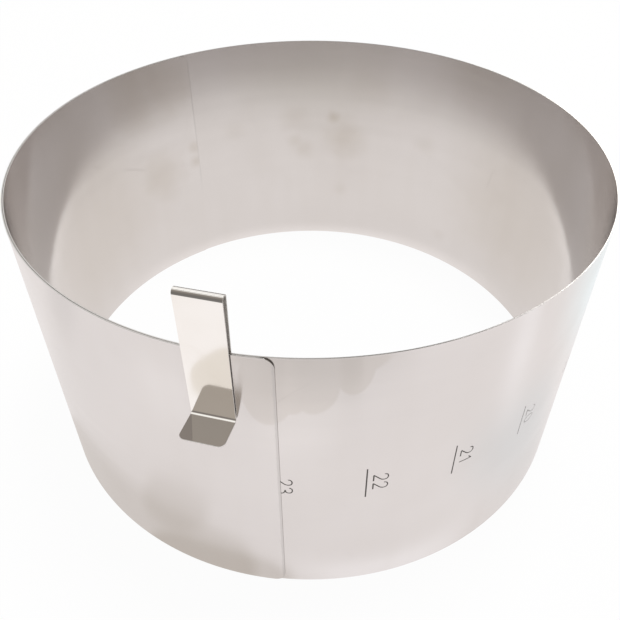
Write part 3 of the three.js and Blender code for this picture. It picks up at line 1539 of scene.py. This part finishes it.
@dataclass(frozen=True)
class Glow:
    """A soft round light in the room that the steel mirrors.

    Its way is the direction that it lies in. Its edge, where it fades out, and the part where it
    is full are angles from its middle, in degrees.
    """

    way: Place
    edge: float
    full: float
    tone: Colour


@dataclass(frozen=True)
class Room:
    """The grey room that the steel mirrors, with a few soft lights in it."""

    name: str = "grey_room"
    front_low: Colour = (0.215, 0.2, 0.188)
    front_high: Colour = (0.49, 0.44, 0.395)
    behind: Colour = (0.26, 0.257, 0.254)
    glows: tuple[Glow, ...] = (
        Glow((-0.27, 0.32, 0.908), 12, 7, (1.2, 1.18, 1.15)),
        Glow((-0.324, -0.082, 0.943), 8, 4, (1.0, 0.98, 0.95)),
        Glow((0.43, 0.775, 0.463), 13, 8, (4.0, 3.9, 3.8)),
        Glow((-0.33, 0.74, 0.586), 25, 14, (1.0, 0.98, 0.96)),
    )

    def world(self) -> bpy.types.World:
        """Makes the world, which the camera sees as plain white.

        Returns:
            The world.
        """
        world = bpy.data.worlds.new(self.name)
        world.use_nodes = True
        w = Wiring(world.node_tree)
        way = w.add("TexCoord").outputs["Generated"]
        parts = w.parts(way)
        rise = w.maths("MULTIPLY", parts["Z"], parts["Z"])
        tone = w.blend(rise, self.front_low, self.front_high)
        tone = w.blend(w.ramp(parts["Y"], -0.15, 0.15), tone, self.behind)
        for glow in self.glows:
            edge, full = (math.cos(math.radians(turn)) for turn in (glow.edge, glow.full))
            share = w.ramp(w.vector("DOT_PRODUCT", way, glow.way), edge, full)
            tone = w.blend(share, tone, glow.tone)
        tone = w.blend(w.add("LightPath").outputs["Is Camera Ray"], tone, (1.0, 1.0, 1.0))
        w.feed_all(w.tree.nodes["Background"], {"Color": tone, "Strength": 1.0})
        return world


@dataclass
class Studio:
    """The white table, the soft light over it, the grey room round it and the camera."""

    table_size: float = 6.0
    softbox_size: float = 0.6
    softbox_place: Place = (0.3, 0.3, 2.0)
    softbox_radiance: float = 23.5
    focal_pixels: float = 691.09
    image_side: float = 620.0
    sensor: float = 36.0
    camera_place: Place = (0.0, -0.24473, 0.25295)
    camera_pitch: float = 40.83
    camera_yaw: float = 0.05
    camera_roll: float = -0.202
    centre_row: float = 299.9
    paper: Paper = field(default_factory=Paper)
    room: Room = field(default_factory=Room)

    def build(self) -> None:
        """Sets the whole studio up."""
        self._table()
        self._softbox()
        self._camera()
        bpy.context.scene.world = self.room.world()
        bpy.context.scene.view_settings.view_transform = "Standard"

    def _table(self) -> None:
        """Lays the white surface under the ring."""
        bpy.ops.mesh.primitive_plane_add(size=self.table_size)
        table = bpy.context.object
        table.name = "white_table"
        table.data.materials.append(self.paper.material())

    def _softbox(self) -> None:
        """Hangs the large soft lamp over the ring, to the right and a little behind it.

        The steel mirrors the room's soft glow instead of it.
        """
        data = bpy.data.lights.new("overhead_softbox", "AREA")
        data.shape = "SQUARE"
        data.size = self.softbox_size
        data.energy = self.softbox_radiance * math.pi * self.softbox_size ** 2
        lamp = bpy.data.objects.new("overhead_softbox", data)
        lamp.location = self.softbox_place
        lamp.rotation_euler = Vector(self.softbox_place).to_track_quat("Z", "Y").to_euler()
        lamp.visible_camera = False
        lamp.visible_glossy = False
        bpy.context.scene.collection.objects.link(lamp)

    def _camera(self) -> None:
        """Stands the camera where the photograph was taken from."""
        data = bpy.data.cameras.new("camera")
        data.sensor_width = self.sensor
        data.lens = self.focal_pixels / self.image_side * self.sensor
        data.shift_y = (self.centre_row - self.image_side / 2) / self.image_side
        data.clip_start = 0.01
        camera = bpy.data.objects.new("camera", data)
        bpy.context.scene.collection.objects.link(camera)
        turn = Matrix.Rotation(math.radians(self.camera_yaw), 4, "Z")
        tilt = Matrix.Rotation(math.radians(90 - self.camera_pitch), 4, "X")
        roll = Matrix.Rotation(math.radians(self.camera_roll), 4, "Z")
        camera.matrix_world = Matrix.Translation(self.camera_place) @ turn @ tilt @ roll
        bpy.context.scene.camera = camera


def main() -> None:
    """Builds the pieces and the studio in order."""
    logging.basicConfig(level=logging.INFO, format="%(name)s: %(message)s")
    Studio().build()
    effects = SteelEffects()
    coil = Coil()
    for maker in (CoiledBand(coil), CentimetreScale(coil), SpringClip(coil)):
        report(maker.build(effects))


if __name__ == "__main__":
    main()
